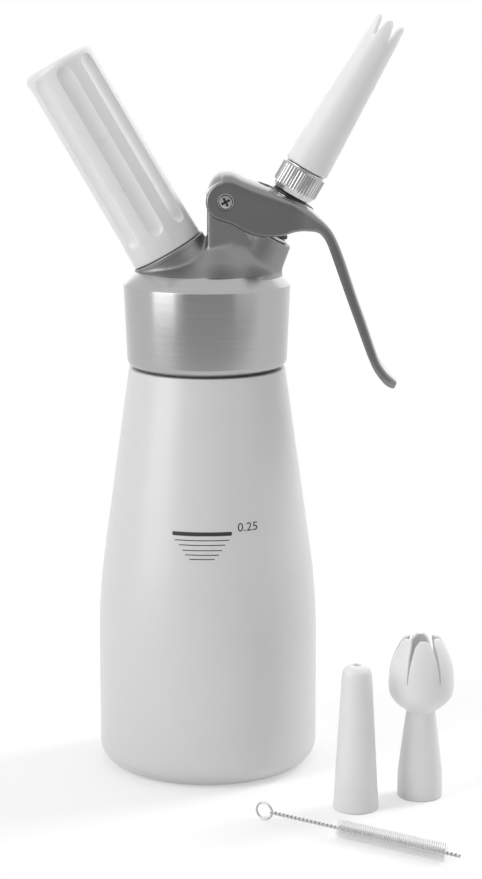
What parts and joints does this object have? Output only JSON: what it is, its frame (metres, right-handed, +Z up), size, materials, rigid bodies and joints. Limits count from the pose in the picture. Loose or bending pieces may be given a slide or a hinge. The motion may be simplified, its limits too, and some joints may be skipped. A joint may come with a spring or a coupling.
{
  "type": "whipped cream dispenser",
  "caption": "Cream whipper: white bottle with a screw-on metal head, fluted gas charger holder, valve lever and star nozzle, with two spare nozzles and a cleaning brush.",
  "frame": {"origin": "middle of the bottle's flat foot, on the table", "axes": "+Z up along the bottle's axis; +X towards the lever and its nozzle; +Y away from the camera"},
  "size_m": [0.132, 0.1338, 0.2389],
  "materials": {
    "bottle_paint": "glossy white paint",
    "head_metal": "cast, brushed round the collar",
    "lever_metal": "satin grey",
    "steel": "satin",
    "chrome": "polished",
    "brass": "turned",
    "rubber": "matt",
    "black_plastic": "matt black",
    "holder_plastic": "white, slightly glossy",
    "nozzle_plastic": "white, satin",
    "bristle_nylon": "pale nylon"
  },
  "bodies": {
    "bottle": {"bottle": "bottle_paint"},
    "gasket": {"head_gasket": "rubber"},
    "head": {"head_casting": "head_metal", "pivot_barrel": "steel", "pivot_screw": "steel", "gas_nipple": "brass", "check_valve_sleeve": "rubber", "pin_holder": "brass", "piercing_pin": "steel", "charger_seal": "rubber", "valve_bush": "steel", "stem_wiper": "rubber", "valve_spring": "steel"},
    "charger": {"gas_charger": "steel"},
    "holder": {"charger_holder": "holder_plastic"},
    "lever": {"lever": "lever_metal"},
    "valve": {"valve_stem": "steel", "valve_seal": "rubber", "stem_foot_nut": "steel", "thrust_ring": "black_plastic", "adapter_nut": "chrome"},
    "nozzle_gasket": {"nozzle_gasket": "rubber"},
    "nozzle": {"star_nozzle": "nozzle_plastic"},
    "plain_nozzle": {"plain_nozzle": "nozzle_plastic"},
    "tulip_nozzle": {"tulip_nozzle": "nozzle_plastic"},
    "brush": {"brush_wire": "steel", "brush_bristles": "bristle_nylon"}
  },
  "joints": [
    {"name": "head_rise", "type": "slide", "parent": "bottle", "child": "gasket", "axis": [0, 0, 1], "range_m": [0, 0.01101]},
    {"name": "head_turn", "type": "hinge", "parent": "gasket", "child": "head", "pos_m": [0, 0, 0.148], "axis": [0, 0, 1], "range_deg": [0, 990]},
    {"name": "holder_turn", "type": "hinge", "parent": "head", "child": "charger", "pos_m": [-0.01222, 0, 0.16557], "axis": [-0.5, 0, 0.866], "range_deg": [0, 1530]},
    {"name": "holder_rise", "type": "slide", "parent": "charger", "child": "holder", "axis": [-0.5, 0, 0.866], "range_m": [0, 0.00851]},
    {"name": "lever_pivot", "type": "hinge", "parent": "head", "child": "lever", "pos_m": [0.00595, 0, 0.18191], "axis": [0, 1, 0], "range_deg": [0, 10]},
    {"name": "valve_press", "type": "slide", "parent": "head", "child": "valve", "axis": [-0.5, 0, -0.866], "range_m": [0, 0.003], "stiffness_N_per_m": 100, "springref_m": -0.006, "deforming": ["valve_spring"]},
    {"name": "tip_rise", "type": "slide", "parent": "valve", "child": "nozzle_gasket", "axis": [0.5, 0, 0.866], "range_m": [0, 0.0045]},
    {"name": "tip_turn", "type": "hinge", "parent": "nozzle_gasket", "child": "nozzle", "pos_m": [0.01908, 0, 0.17085], "axis": [0.5, 0, 0.866], "range_deg": [0, 1080]},
    {"name": "plain_nozzle_lift", "type": "slide", "parent": "bottle", "child": "plain_nozzle", "axis": [0, 0, 1], "range_m": [0, 0.06]},
    {"name": "tulip_nozzle_lift", "type": "slide", "parent": "bottle", "child": "tulip_nozzle", "axis": [0, 0, 1], "range_m": [0, 0.06]},
    {"name": "brush_lift", "type": "slide", "parent": "bottle", "child": "brush", "axis": [0, 0, 1], "range_m": [0, 0.06]}
  ],
  "couplings": [
    {"joint": "head_rise", "follows": "head_turn", "m_per_rad": 0.00063662},
    {"joint": "holder_rise", "follows": "holder_turn", "m_per_rad": 0.00031831},
    {"joint": "lever_pivot", "follows": "valve_press", "rad_per_m": 58.14},
    {"joint": "tip_turn", "follows": "tip_rise", "rad_per_m": 4188.8}
  ]
}
